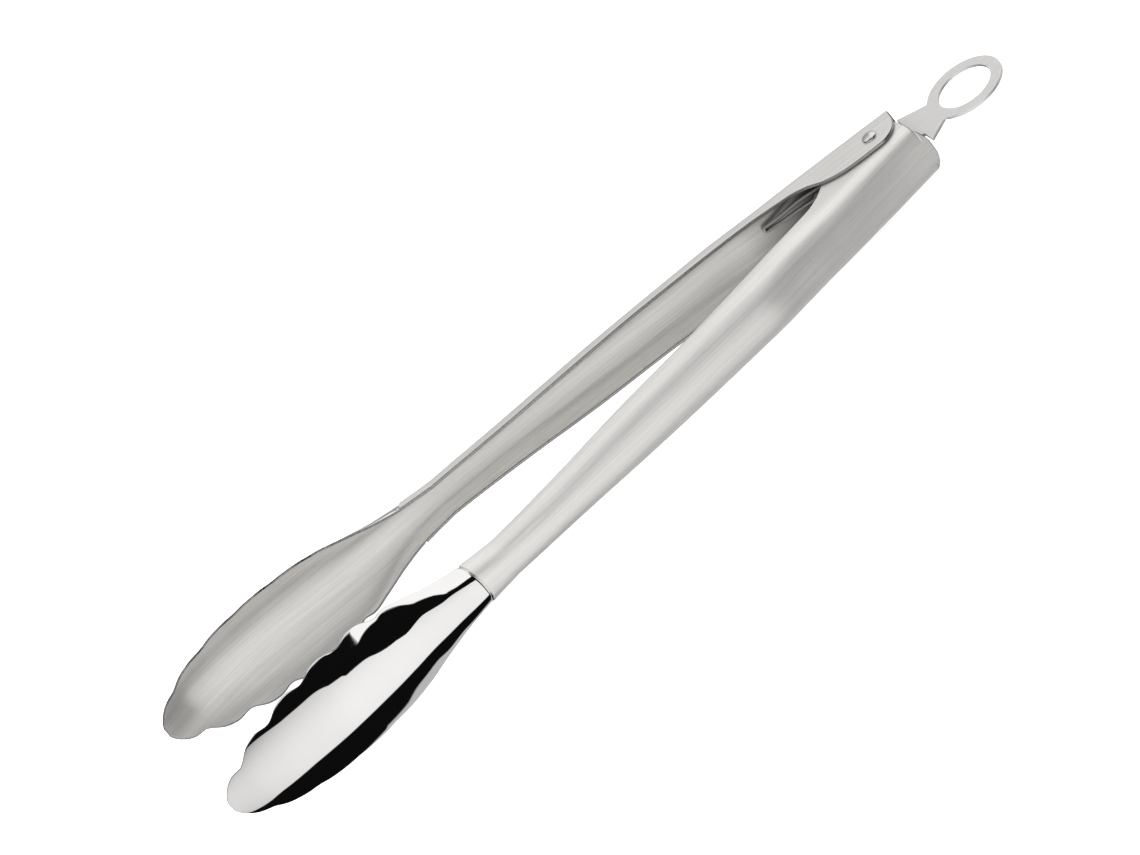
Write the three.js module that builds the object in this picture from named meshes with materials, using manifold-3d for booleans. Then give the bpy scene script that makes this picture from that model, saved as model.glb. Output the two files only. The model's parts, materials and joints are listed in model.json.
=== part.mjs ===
// Spring loaded kitchen tongs, lying open on their side. All lengths are in mm.
// +X points along the tongs to the hanging eye, +Z along the rivet. The rear arm is at +Y, the front arm at -Y.
import * as THREE from 'three';
import { mergeVertices, toCreasedNormals } from 'three/addons/utils/BufferGeometryUtils.js';
import Module from 'manifold-3d';

const wasm = await Module();
wasm.setup();

// ---- driving dimensions ----
const SHEET = 1.0;               // stainless sheet of the arms and the lock plate
const GAP = 0.3;                 // running clearance between pieces that turn or slide
const OPEN_HALF_ANGLE = 5.7;     // degrees that each arm stands off the centre line when open

const TAIL_FRONT = 10.8;         // arm length behind the rivet, on the centre line of the back
const TAIL_REAR = 9.2;
const TAIL_SIDE = 8.75;          // the same at the sides, where the tongue-shaped tail starts
const TONGUE_START = 0.838;      // share of the half width at which the tongue-shaped end starts
const SEAM = 167.0;              // where the brushed handle ends and the polished head begins
const HEAD_WIDEST = 211.0;
const TIP = 257.3;

const EAR_HALF = 9.05;           // outer half width of a channel at the rivet
const EAR_OFFSET = (SHEET + GAP) / 2;  // there the two like arms stand this far apart along the rivet, and nest
const NECK_HALF = 6.15;
const HEAD_HALF = 16.6;
const EAR_DROP = 5.75;           // how far an ear reaches past the rivet axis
const EAR_ROUND = 7.2;           // rounding of the ear's free corner along the arm, and where it starts across
const EAR_ROUND_FROM = 2.6;
const CORNER_DEPTH = 7.2;        // depth of the rounded part of the channel at the rivet

const SCALLOPS = 4;              // full waves on each side of a head
const SCALLOP_START = 194.0;
const SCALLOP_PITCH = 13.6;
const SCALLOP_DEPTH = 1.7;

const RIVET_R = 1.5;
const RIVET_HEAD_R = 2.35;
const RIVET_DOME = 1.1;
const RIVET_HOLE_R = RIVET_R + 0.11;
const SLEEVE_BORE_R = 1.8;
const SLEEVE_R = 2.4;

const EYE_X = 30.1;              // hanging eye centre from the rivet
const EYE_R = 12.1;
const EYE_HOLE_R = 8.45;
const WAIST_X = 19.4;            // narrowest place of the lock plate
const WAIST_HALF = 5.85;
const SHOULDER_FRONT_X = 12.3;   // the shoulders stop the plate against the arm tails
const SHOULDER_FRONT = 9.9;
const SHOULDER_REAR_X = 10.7;
const SHOULDER_REAR = 10.3;
const TONGUE_HALF = 4.6;
const PLATE_LIFT = 1.5;          // the lock plate sits this far above the mid-plane
const LOCK_TRAVEL = 3.5;

const CATCH_AT = 14.0;           // distance of the catches from the rivet
const CATCH_LENGTH = 2.0;
const CATCH_IN = 8.2;            // catch bar from the arm axis, and its thickness
const CATCH_BAR = 0.5;
const CATCH_LEG_IN = 2.4;        // the legs stand outside this half width
const CATCH_LEG = 0.8;
const FINGER_GAP = 0.15;
const FINGER = 0.6;              // hook finger thickness across the tongs
const HOOK_ROOT = 2.6;

const WIRE_R = 0.55;
const COIL_R = 3.3;
const COIL_TURNS = 2.5;
const COIL_IN = 1.3;             // distances from the plate's middle to the wire at the two ends of a coil
const COIL_OUT = 4.6;
const LOOP_HALF = 0.8;           // half width of the closed loop on the rear arm
const LOOP_LIFT = 0.3;           // the loop's middle from the mid-plane
const LOOP_AT = 37.6;            // where the loop rests on the rear arm
const FOOT_AT = 27.0;            // where the two free ends rest on the front arm
const FOOT_HALF = 4.4;           // the free ends' distance from the mid-plane

// ---- small helpers ----
const rad = (degrees) => degrees * Math.PI / 180;

// Smooth curve through hand-placed [position, value] stations, without overshoot.
function curve(stations) {
  const slopes = [];
  for (let i = 0; i < stations.length - 1; i += 1) {
    slopes.push((stations[i + 1][1] - stations[i][1]) / (stations[i + 1][0] - stations[i][0]));
  }
  const tangents = stations.map((_, i) => {
    if (i === 0) return slopes[0];
    if (i === stations.length - 1) return slopes[i - 1];
    const product = slopes[i - 1] * slopes[i];
    return product <= 0 ? 0 : 2 * product / (slopes[i - 1] + slopes[i]);
  });
  return (x) => {
    let i = 0;
    while (i < stations.length - 2 && x > stations[i + 1][0]) i += 1;
    const [x0, y0] = stations[i];
    const [x1, y1] = stations[i + 1];
    const h = x1 - x0;
    const t = Math.min(1, Math.max(0, (x - x0) / h));
    const rise = t * t * (3 - 2 * t);
    const startBend = t * (1 - t) * (1 - t) * h * tangents[i];
    const endBend = t * t * (t - 1) * h * tangents[i + 1];
    return y0 + (y1 - y0) * rise + startBend + endBend;
  };
}

function range(start, end, count) {
  return Array.from({ length: count }, (_, i) => start + (end - start) * i / count);
}

// ---- arm shape: everything is a function of u, the distance from the rivet towards the tip ----
const backCurve = curve([
  [-TAIL_FRONT, 9.9], [0, 10.4], [25, 12.4], [42, 13.9], [58, 15.1], [85, 14.9], [115, 14.4], [145, 13.5],
  [SEAM, 12.3],
]);
const rimHandle = curve([
  [28, 2.8], [42, 5.0], [58, 6.0], [82, 6.6], [112, 6.2], [145, 6.2], [SEAM, 5.3], [184, 4.2], [204, 3.1],
  [226, 2.9], [244, 2.2], [TIP, 0.75],
]);
const headDepth = curve([[SEAM, 7.0], [184, 7.0], [204, 7.8], [216, 7.7], [232, 6.3], [246, 3.7], [TIP, 0]]);
const halfHandle = curve([
  [25, 0], [46, 0.3], [70, 0.8], [100, 1.5], [114, 2.1], [128, 2.8], [142, 3.25], [156, 3.55],
]);
const halfHead = curve([
  [156, NECK_HALF], [167, 7.3], [175, 9.1], [184, 12.0], [194, 15.0], [202, 16.2], [HEAD_WIDEST, HEAD_HALF],
]);
const sideSquareness = curve([
  [0, 3.7], [40, 2.7], [90, 2.5], [150, 2.6], [SEAM, 2.8], [178, 2.5], [190, 2.3], [TIP, 2.2],
]);
const backSquareness = curve([
  [0, 2.9], [40, 2.5], [90, 2.4], [150, 2.4], [SEAM, 2.4], [177, 1.8], [190, 1.3], [TIP, 1.2],
]);

const earSweep = curve([
  [5, -EAR_DROP], [11, -EAR_DROP + 0.6], [17, -3.2], [23, 0.9], [28, 2.8], [42, 5.0],
]);

// Height of an arm's free edge: the rounded ear past the rivet axis, then the handle's rim.
function rimHeight(u) {
  if (u >= 28) return rimHandle(u);
  if (u >= -1) return earSweep(u);
  const t = (-1 - u) / EAR_ROUND;
  if (t < 1) return -EAR_DROP + (EAR_DROP + EAR_ROUND_FROM) * (1 - Math.sqrt(1 - t * t));
  return EAR_ROUND_FROM + (-1 - EAR_ROUND - u) / 0.065;
}

const nested = (u) => 1 - THREE.MathUtils.smoothstep(u, 22, 46);

function halfWidth(u) {
  if (u <= 156) return EAR_HALF + EAR_OFFSET * (1 - nested(u)) - halfHandle(u);
  if (u <= HEAD_WIDEST) return halfHead(u);
  const t = (u - HEAD_WIDEST) / (TIP - HEAD_WIDEST);
  return HEAD_HALF * Math.sqrt(Math.max(0, 1 - t * t));
}

// Half section from the middle of the back to the rim, as [z, w, length so far]; w points out of the tongs.
function halfSection(u) {
  const half = halfWidth(u);
  const rim = rimHeight(Math.max(-1, u));
  const back = u <= SEAM ? backCurve(u) : rimHandle(u) + headDepth(u);
  const depth = Math.min(back - rim, u < 40 ? CORNER_DEPTH + Math.max(0, u - 10) * 0.06 : back - rim);
  const points = [];
  let length = 0;
  for (let k = 0; k <= 48; k += 1) {
    const angle = (k / 48) * Math.PI / 2;
    const z = half * Math.sin(angle) ** (2 / sideSquareness(u));
    const w = back - depth + depth * Math.max(0, Math.cos(angle)) ** (2 / backSquareness(u));
    if (k > 0) length += Math.hypot(z - points[k - 1][0], w - points[k - 1][1]);
    points.push([z, w, length]);
  }
  const straight = back - depth - rim;
  if (straight > 0.01) points.push([half, rim, length + straight]);
  return points;
}

function atLength(points, length) {
  let i = 1;
  while (i < points.length - 1 && points[i][2] < length) i += 1;
  const [z0, w0, l0] = points[i - 1];
  const [z1, w1, l1] = points[i];
  const t = (length - l0) / Math.max(1e-9, l1 - l0);
  return [z0 + (z1 - z0) * t, w0 + (w1 - w0) * t];
}

// Length of the half section that is left after the tail's tongue, the ear's end and the scallops are cut.
function cutLength(u, points, tail) {
  let length = points[points.length - 1][2];
  if (u < 0) {
    const onTongue = u <= -TAIL_SIDE;
    const widest = Math.max(...points.map((point) => point[0]));
    const tongue = onTongue ? TONGUE_START * widest * Math.sqrt((tail + u) / (tail - TAIL_SIDE)) : 99;
    const rim = onTongue ? -99 : rimHeight(u);
    const stop = points.findIndex((point) => point[0] > tongue || point[1] < rim);
    if (stop > 0) {
      const before = points[stop - 1];
      const after = points[stop];
      const overZ = (tongue - before[0]) / Math.max(1e-9, after[0] - before[0]);
      const overW = (before[1] - rim) / Math.max(1e-9, before[1] - after[1]);
      const t = Math.min(1, Math.max(0, Math.min(overZ, overW)));
      length = before[2] + (after[2] - before[2]) * t;
    }
    if (u <= -tail) length = 0;
  }
  const wave = (u - SCALLOP_START) / SCALLOP_PITCH;
  if (wave > -0.5 && wave < SCALLOPS + 0.5) {
    const fade = Math.min(1, 2 * (wave + 0.5), 2 * (SCALLOPS + 0.5 - wave));
    length -= SCALLOP_DEPTH * fade * (0.5 + 0.5 * Math.cos(2 * Math.PI * wave)) ** 1.4;
  }
  return Math.max(0, length);
}

function armStations(tail) {
  const list = [
    ...range(0, 1, 5).map((t) => -tail + (tail - TAIL_SIDE) * t * t),
    ...range(-TAIL_SIDE, -1 - EAR_ROUND, 3),
    ...range(0, 1, 7).map((t) => -1 - EAR_ROUND * Math.cos(t * Math.PI / 2)),
    ...range(-1, 30, 11),
    ...range(30, 156, 14),
    ...range(156, SCALLOP_START - 3, 7),
    ...range(SCALLOP_START - 3, SCALLOP_START + SCALLOPS * SCALLOP_PITCH, 26),
  ];
  const start = SCALLOP_START + SCALLOPS * SCALLOP_PITCH;
  list.push(...range(0, 1, 6).map((t) => start + (TIP - start) * (1 - (1 - t) ** 2)), TIP);
  return list;
}

function toSolid(geometry) {
  geometry.deleteAttribute('normal');
  geometry.deleteAttribute('uv');
  const merged = mergeVertices(geometry);
  const mesh = new wasm.Mesh({
    numProp: 3,
    vertProperties: new Float32Array(merged.attributes.position.array),
    triVerts: new Uint32Array(merged.index.array),
  });
  return new wasm.Manifold(mesh);
}

function toGeometry(manifold) {
  const mesh = manifold.getMesh();
  const positions = [];
  for (const vertex of mesh.triVerts) {
    positions.push(...mesh.vertProperties.slice(vertex * mesh.numProp, vertex * mesh.numProp + 3));
  }
  const geometry = new THREE.BufferGeometry();
  geometry.setAttribute('position', new THREE.Float32BufferAttribute(positions, 3));
  return toCreasedNormals(geometry, rad(30));
}

function fromTriangles(vertices, triangles) {
  const geometry = new THREE.BufferGeometry();
  geometry.setAttribute('position', new THREE.Float32BufferAttribute(vertices.flat(), 3));
  geometry.setIndex(triangles.flat());
  return geometry;
}

// Formed sheet arm in its own frame: u runs to -X, w to +Y. ACROSS is the number of strips over the back.
const ACROSS = 16;
function armSheet(tail) {
  const surfacePoint = (u, fraction) => {
    const clamped = Math.min(TIP, Math.max(-tail, u));
    const points = halfSection(clamped);
    const [z, w] = atLength(points, Math.abs(fraction) * points[points.length - 1][2]);
    return new THREE.Vector3(-u, w, Math.sign(fraction) * z + EAR_OFFSET * nested(u));
  };
  const vertices = [];
  const grid = [];
  for (const u of armStations(tail)) {
    const points = halfSection(u);
    const full = points[points.length - 1][2];
    const left = cutLength(u, points, tail);
    const row = [];
    for (let j = 0; j <= ACROSS; j += 1) {
      const fraction = full > 0.02 ? (2 * j / ACROSS - 1) * left / full : 0;
      const outer = surfacePoint(u, fraction);
      const step = 0.02;
      const nearTip = Math.min(u, TIP - 1.2);
      const along = surfacePoint(nearTip + 0.4, fraction).sub(surfacePoint(nearTip - 0.4, fraction));
      const across = surfacePoint(nearTip, Math.min(1, fraction + step));
      across.sub(surfacePoint(nearTip, Math.max(-1, fraction - step)));
      const normal = new THREE.Vector3().crossVectors(along, across).normalize();
      const inner = outer.clone().addScaledVector(normal, -SHEET);
      row.push([vertices.length, vertices.length + 1]);
      vertices.push(outer.toArray(), inner.toArray());
    }
    const closed = left < 0.02 || full < 0.02;
    grid.push(closed ? row.map(() => row[0]) : row);
  }
  const triangles = [];
  const quad = (a, b, c, d) => {
    for (const triangle of [[a, b, c], [a, c, d]]) {
      if (new Set(triangle).size === 3) triangles.push(triangle);
    }
  };
  for (let i = 0; i < grid.length - 1; i += 1) {
    for (let j = 0; j < ACROSS; j += 1) {
      const [o00, i00] = grid[i][j];
      const [o10, i10] = grid[i + 1][j];
      const [o11, i11] = grid[i + 1][j + 1];
      const [o01, i01] = grid[i][j + 1];
      quad(o00, o10, o11, o01);
      quad(i00, i01, i11, i10);
    }
    const [a, b] = grid[i][0];
    const [c, d] = grid[i + 1][0];
    quad(a, b, d, c);
    const [e, f] = grid[i][ACROSS];
    const [g, h] = grid[i + 1][ACROSS];
    quad(e, g, h, f);
  }
  return fromTriangles(vertices, triangles);
}

// ---- pieces ----
// An arm with the rivet's hole through both ears. Like the catch, it is drawn in the arm's own frame.
function arm(tail) {
  const drill = new THREE.CylinderGeometry(RIVET_HOLE_R, RIVET_HOLE_R, 4 * EAR_HALF, 24);
  return toGeometry(toSolid(armSheet(tail)).subtract(toSolid(drill.rotateX(Math.PI / 2))));
}

// Catch: a small staple spot-welded inside an arm's back; its bar holds the lock plate's hook.
function catchStaple() {
  const seat = backCurve(CATCH_AT) - SHEET - 0.4;
  const out = CATCH_LEG_IN + CATCH_LEG;
  const bar = CATCH_IN + CATCH_BAR;
  const outline = [[-out, seat], [-out, CATCH_IN], [out, CATCH_IN], [out, seat]];
  outline.push([CATCH_LEG_IN, seat], [CATCH_LEG_IN, bar], [-CATCH_LEG_IN, bar], [-CATCH_LEG_IN, seat]);
  const shape = new THREE.Shape(outline.map(([z, w]) => new THREE.Vector2(z, w)));
  const geometry = new THREE.ExtrudeGeometry(shape, { depth: CATCH_LENGTH, bevelEnabled: false });
  return geometry.rotateY(-Math.PI / 2).translate(CATCH_LENGTH / 2 - CATCH_AT, 0, 0);
}

// Lock plate: hanging eye, waist, flared shoulders, slotted tongue and two hooks, cut from flat sheet.
function lockPlate() {
  const hookOut = CATCH_IN + CATCH_BAR + FINGER_GAP + FINGER;
  const hookIn = hookOut - FINGER;
  const fingerTip = -(CATCH_AT + CATCH_LENGTH / 2 + GAP);
  const rootIn = fingerTip - LOCK_TRAVEL - GAP;
  const rootOut = rootIn - HOOK_ROOT;
  const eyeStart = Math.PI - Math.asin((WAIST_HALF + 0.75) / EYE_R);
  const shape = new THREE.Shape();
  shape.moveTo(rootOut, -hookOut + 1.2);
  shape.lineTo(rootOut + 1.2, -hookOut);
  shape.lineTo(fingerTip - 0.4, -hookOut);
  shape.quadraticCurveTo(fingerTip, -hookOut, fingerTip, -hookIn - FINGER / 2);
  shape.lineTo(fingerTip, -hookIn);
  shape.lineTo(rootIn + 0.6, -hookIn);
  shape.quadraticCurveTo(rootIn, -hookIn, rootIn, -hookIn + 0.8);
  shape.lineTo(rootIn, -TONGUE_HALF - 1.5);
  shape.quadraticCurveTo(rootIn, -TONGUE_HALF, rootIn + 1.5, -TONGUE_HALF);
  shape.lineTo(SHOULDER_FRONT_X - 1.0, -TONGUE_HALF);
  shape.quadraticCurveTo(SHOULDER_FRONT_X, -TONGUE_HALF, SHOULDER_FRONT_X, -TONGUE_HALF - 1.0);
  shape.lineTo(SHOULDER_FRONT_X, -SHOULDER_FRONT);
  shape.lineTo(SHOULDER_FRONT_X + 0.3, -SHOULDER_FRONT);
  shape.lineTo(WAIST_X - 0.4, -WAIST_HALF - 0.2);
  shape.quadraticCurveTo(WAIST_X, -WAIST_HALF, WAIST_X + 0.4, -WAIST_HALF - 0.35);
  shape.absarc(EYE_X, 0, EYE_R, -eyeStart, eyeStart, false);
  shape.lineTo(WAIST_X + 0.4, WAIST_HALF + 0.35);
  shape.quadraticCurveTo(WAIST_X, WAIST_HALF, WAIST_X - 0.4, WAIST_HALF + 0.2);
  shape.lineTo(SHOULDER_REAR_X + 0.3, SHOULDER_REAR);
  shape.lineTo(SHOULDER_REAR_X, SHOULDER_REAR);
  shape.lineTo(SHOULDER_REAR_X, TONGUE_HALF + 1.0);
  shape.quadraticCurveTo(SHOULDER_REAR_X, TONGUE_HALF, SHOULDER_REAR_X - 1.0, TONGUE_HALF);
  shape.lineTo(rootIn + 1.5, TONGUE_HALF);
  shape.quadraticCurveTo(rootIn, TONGUE_HALF, rootIn, TONGUE_HALF + 1.5);
  shape.lineTo(rootIn, hookIn - 0.8);
  shape.quadraticCurveTo(rootIn, hookIn, rootIn + 0.6, hookIn);
  shape.lineTo(fingerTip, hookIn);
  shape.lineTo(fingerTip, hookIn + FINGER / 2);
  shape.quadraticCurveTo(fingerTip, hookOut, fingerTip - 0.4, hookOut);
  shape.lineTo(rootOut + 1.2, hookOut);
  shape.lineTo(rootOut, hookOut - 1.2);
  shape.closePath();
  const eye = new THREE.Path();
  eye.absarc(EYE_X, 0, EYE_HOLE_R, 0, 2 * Math.PI, true);
  const slotR = RIVET_R + GAP;
  const slot = new THREE.Path();
  slot.absarc(GAP, 0, slotR, Math.PI / 2, -Math.PI / 2, true);
  slot.absarc(-LOCK_TRAVEL - GAP, 0, slotR, -Math.PI / 2, Math.PI / 2, true);
  shape.holes.push(eye, slot);
  const geometry = new THREE.ExtrudeGeometry(shape, { depth: SHEET, bevelEnabled: false, curveSegments: 32 });
  geometry.translate(0, 0, PLATE_LIFT - SHEET / 2);
  return geometry;
}

// Rivet: domed factory head on top, a flatter clenched head below.
function lathe(outline, facets) {
  const geometry = new THREE.LatheGeometry(outline.map(([r, z]) => new THREE.Vector2(r, z)), facets);
  geometry.rotateX(Math.PI / 2);
  return geometry;
}

function rivet() {
  const seat = EAR_HALF + EAR_OFFSET + 0.15;
  const outline = [[0, -seat - 0.75]];
  for (let k = 1; k <= 5; k += 1) {
    const angle = k / 5 * Math.PI / 2;
    outline.push([RIVET_HEAD_R * 1.02 * Math.sin(angle), -seat - 0.15 - 0.6 * Math.cos(angle)]);
  }
  outline.push([RIVET_HEAD_R * 1.02, -seat], [RIVET_R, -seat], [RIVET_R, seat], [RIVET_HEAD_R, seat]);
  for (let k = 0; k <= 5; k += 1) {
    const angle = k / 5 * Math.PI / 2;
    const z = seat + 0.15 + (RIVET_DOME - 0.15) * Math.sin(angle);
    outline.push([k === 5 ? 0 : RIVET_HEAD_R * Math.cos(angle), z]);
  }
  return lathe(outline, 24);
}

function sleeve(side) {
  const plateFace = PLATE_LIFT + side * (SHEET / 2 + 0.15);
  const ear = side * (EAR_HALF - EAR_OFFSET - SHEET - 0.2);
  const [z0, z1] = [Math.min(plateFace, ear), Math.max(plateFace, ear)];
  return lathe([[SLEEVE_BORE_R, z0], [SLEEVE_R, z0], [SLEEVE_R, z1], [SLEEVE_BORE_R, z1], [SLEEVE_BORE_R, z0]], 24);
}

// Double torsion spring: free end on the front arm, coil, closed loop on the rear arm, coil, free end.
// Its coils sit on the sleeves, one above the lock plate (side 1) and one below it (side -1).
function springHalf(side) {
  const zAxis = new THREE.Vector3(0, 0, 1);
  const open = rad(OPEN_HALF_ANGLE);
  const place = (u, w, z, turn) => new THREE.Vector3(-u, w, z).applyAxisAngle(zAxis, turn);
  const loopW = backCurve(LOOP_AT) - SHEET - WIRE_R - 0.2;
  const footW = backCurve(FOOT_AT) - SHEET - WIRE_R - 0.95;
  const foot = place(FOOT_AT, -footW, side * FOOT_HALF, open);
  const loopStart = place(LOOP_AT, loopW, LOOP_LIFT + side * LOOP_HALF, -open);
  const loopEnd = place(LOOP_AT + LOOP_HALF * 1.1, loopW + 0.1, LOOP_LIFT, -open);
  const slope = Math.asin((loopW - COIL_R) / Math.hypot(LOOP_AT, loopW)) + open;
  const footSlope = Math.asin((footW - COIL_R) / Math.hypot(FOOT_AT, footW)) + open;
  const coilStart = -Math.PI / 2 + footSlope;
  const coilEnd = Math.PI / 2 - slope + 2 * Math.PI * Math.floor(COIL_TURNS);
  const coil = (t) => {
    const angle = coilStart + (coilEnd - coilStart) * t;
    const lift = COIL_OUT + (COIL_IN - COIL_OUT) * THREE.MathUtils.smoothstep(t, -0.02, 1.02);
    return new THREE.Vector3(COIL_R * Math.cos(angle), COIL_R * Math.sin(angle), PLATE_LIFT + side * lift);
  };
  const points = range(0, 1, 4).map((t) => foot.clone().lerp(coil(0), t));
  for (let k = 0; k <= 44; k += 1) points.push(coil(k / 44));
  const exit = coil(1);
  for (let k = 1; k <= 12; k += 1) {
    const point = exit.clone().lerp(loopStart, k / 12);
    point.z = exit.z + (loopStart.z - exit.z) * THREE.MathUtils.smoothstep(k / 12, 0.62, 1);
    points.push(point);
  }
  for (let k = 1; k <= 4; k += 1) {
    const angle = k / 4 * Math.PI / 2;
    const point = loopStart.clone().lerp(loopEnd, Math.sin(angle));
    point.z = LOOP_LIFT + side * LOOP_HALF * Math.cos(angle);
    points.push(point);
  }
  return points;
}

// Round wire along a path; the ring of each point is carried over from the one before, so it never twists.
function wireTube(path, radius, sides) {
  const vertices = [];
  const triangles = [];
  let side = new THREE.Vector3(0, 1, 0);
  path.forEach((point, i) => {
    const before = path[Math.max(0, i - 1)];
    const after = path[Math.min(path.length - 1, i + 1)];
    const direction = after.clone().sub(before).normalize();
    side = side.clone().addScaledVector(direction, -side.dot(direction)).normalize();
    const top = new THREE.Vector3().crossVectors(side, direction);
    for (let k = 0; k < sides; k += 1) {
      const angle = 2 * Math.PI * k / sides;
      const vertex = point.clone().addScaledVector(side, radius * Math.cos(angle));
      vertices.push(vertex.addScaledVector(top, radius * Math.sin(angle)).toArray());
    }
  });
  for (let i = 0; i < path.length - 1; i += 1) {
    for (let k = 0; k < sides; k += 1) {
      const next = (k + 1) % sides;
      const [a, b] = [i * sides + k, i * sides + next];
      const [c, d] = [a + sides, b + sides];
      triangles.push([a, c, d], [a, d, b]);
    }
  }
  const last = (path.length - 1) * sides;
  for (let k = 1; k < sides - 1; k += 1) {
    triangles.push([0, k, k + 1], [last, last + k + 1, last + k]);
  }
  return fromTriangles(vertices, triangles);
}

function spring() {
  const upper = springHalf(1);
  const lower = springHalf(-1).slice(0, -1).reverse();
  return toCreasedNormals(wireTube([...upper, ...lower], WIRE_R, 8), rad(30));
}

// ---- assembly ----
function piece(name, geometry, color, roughness) {
  const mesh = new THREE.Mesh(geometry, new THREE.MeshStandardMaterial({ color, roughness, metalness: 1 }));
  mesh.name = name;
  return mesh;
}

// The rear arm leans to +Y. The front arm is the same pressing, turned over about X, and leans to -Y.
const rearArm = new THREE.Group();
rearArm.rotation.z = -rad(OPEN_HALF_ANGLE);
rearArm.add(piece('rear_arm', arm(TAIL_REAR), 0xc9c6c1, 0.4), piece('rear_catch', catchStaple(), 0xb9b7b2, 0.45));

const frontArm = new THREE.Group();
frontArm.rotation.set(Math.PI, 0, -rad(OPEN_HALF_ANGLE));
frontArm.add(piece('front_arm', arm(TAIL_FRONT), 0xc9c6c1, 0.4), piece('front_catch', catchStaple(), 0xb9b7b2, 0.45));

const tongs = new THREE.Group();
tongs.add(
  rearArm,
  frontArm,
  piece('torsion_spring', spring(), 0xa5a4a2, 0.3),
  piece('lock_plate', lockPlate(), 0xcfccc8, 0.5),
  piece('rivet', rivet(), 0xd2d0cc, 0.25),
  piece('sleeve_upper', sleeve(1), 0xb9b7b2, 0.3),
  piece('sleeve_lower', sleeve(-1), 0xb9b7b2, 0.3),
);

// The origin is the bottom centre of the bounding box.
const box = new THREE.Box3().setFromObject(tongs, true);
const centre = box.getCenter(new THREE.Vector3());
tongs.position.set(-centre.x, -centre.y, -box.min.z);

const model = new THREE.Group();
model.name = 'kitchen_tongs';
model.add(tongs);

export default model;
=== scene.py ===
"""Looks of the spring loaded kitchen tongs: fine sheet-metal meshes and steel materials round the CAD frame.

Lengths are in millimetres until build_mesh() turns them into metres. An arm is drawn in its own frame: u is the
distance from the rivet towards the tip, w points out of the tongs and z along the rivet.
"""
import json
import math

import bmesh
import bpy
import numpy as np
from mathutils import Matrix, Vector
from mathutils.geometry import tessellate_polygon


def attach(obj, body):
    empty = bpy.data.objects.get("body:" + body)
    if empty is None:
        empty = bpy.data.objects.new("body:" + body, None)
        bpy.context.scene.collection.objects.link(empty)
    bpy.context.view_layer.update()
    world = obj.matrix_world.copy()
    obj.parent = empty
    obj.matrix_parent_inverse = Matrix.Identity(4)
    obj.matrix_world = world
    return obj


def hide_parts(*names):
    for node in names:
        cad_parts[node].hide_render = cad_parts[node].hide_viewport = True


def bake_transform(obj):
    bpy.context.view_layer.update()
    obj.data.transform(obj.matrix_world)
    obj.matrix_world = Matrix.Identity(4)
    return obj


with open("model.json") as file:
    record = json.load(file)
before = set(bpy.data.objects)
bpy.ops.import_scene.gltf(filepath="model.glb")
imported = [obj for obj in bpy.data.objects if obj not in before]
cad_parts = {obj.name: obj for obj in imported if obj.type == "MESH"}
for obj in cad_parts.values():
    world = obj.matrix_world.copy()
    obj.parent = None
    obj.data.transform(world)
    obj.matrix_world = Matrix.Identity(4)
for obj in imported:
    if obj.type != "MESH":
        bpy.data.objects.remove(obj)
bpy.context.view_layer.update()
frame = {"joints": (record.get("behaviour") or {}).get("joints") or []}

MM = 0.001
HINGE = next(joint for joint in frame["joints"] if joint["name"] == "arm_hinge")
PIVOT = np.array(HINGE["pos_m"]) / MM

# ---- driving dimensions, as in the CAD ----
SHEET = 1.0
GAP = 0.3                # running clearance between pieces that turn or slide
HEAD_GAP = 0.15          # the same under a rivet head and beside the lock plate
OPEN_HALF_ANGLE = math.radians(5.7)  # assumed: the fit named at the arm shape did not settle it
TAIL_FRONT = 10.8
TAIL_REAR = 9.2
TAIL_SIDE = 8.75
TONGUE_START = 0.838
SEAM = 167.0
HEAD_WIDEST = 211.0
TIP = 257.3
EAR_HALF = 9.05
EAR_OFFSET = 0.65
NECK_HALF = 6.15
HEAD_HALF = 16.6
EAR_DROP = 5.75
EAR_ROUND = 7.2
EAR_ROUND_FROM = 2.6
CORNER_DEPTH = 7.2
SCALLOPS = 4
SCALLOP_START = 194.0
SCALLOP_PITCH = 13.6
SCALLOP_DEPTH = 1.7
RIVET_R = 1.5
RIVET_HEAD_R = 2.35
RIVET_DOME = 1.1
RIVET_HOLE_R = RIVET_R + 0.11
SLEEVE_BORE_R = 1.8
SLEEVE_R = 2.4
EYE_X = 30.1
EYE_R = 12.1
EYE_HOLE_R = 8.45        # from the same fit as the arm shape
WAIST_X = 19.4
WAIST_HALF = 5.85
SHOULDER_FRONT = (12.3, 9.9)
SHOULDER_REAR = (10.7, 10.3)
TONGUE_HALF = 4.6
PLATE_LIFT = 1.5
LOCK_TRAVEL = 3.5
CATCH_AT = 14.0
CATCH_LENGTH = 2.0
CATCH_IN = 8.2
CATCH_BAR = 0.5
CATCH_LEG_IN = 2.4
CATCH_LEG = 0.8
HOOK_ROOT = 2.6
FINGER_GAP = 0.15
FINGER = 0.6
WIRE_R = 0.55
COIL_R = 3.3
COIL_TURNS = 2.5
COIL_IN = 1.3
COIL_OUT = 4.6
LOOP_HALF = 0.8
LOOP_LIFT = 0.3
LOOP_AT = 37.6
FOOT_AT = 27.0
FOOT_HALF = 4.4

# ---- what only the looks have ----
EDGE_R = 0.22            # rounding of the arms' cut edges
ACROSS = 72              # strips over the back of an arm
SEAM_BOW = 1.3           # how far the seam's middle stands towards the rivet
HEAD_STEP = 0.32         # the polished head lies this much lower than the brushed handle
GROOVE = 0.34            # the fine groove at the seam is cut this much deeper still


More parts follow.
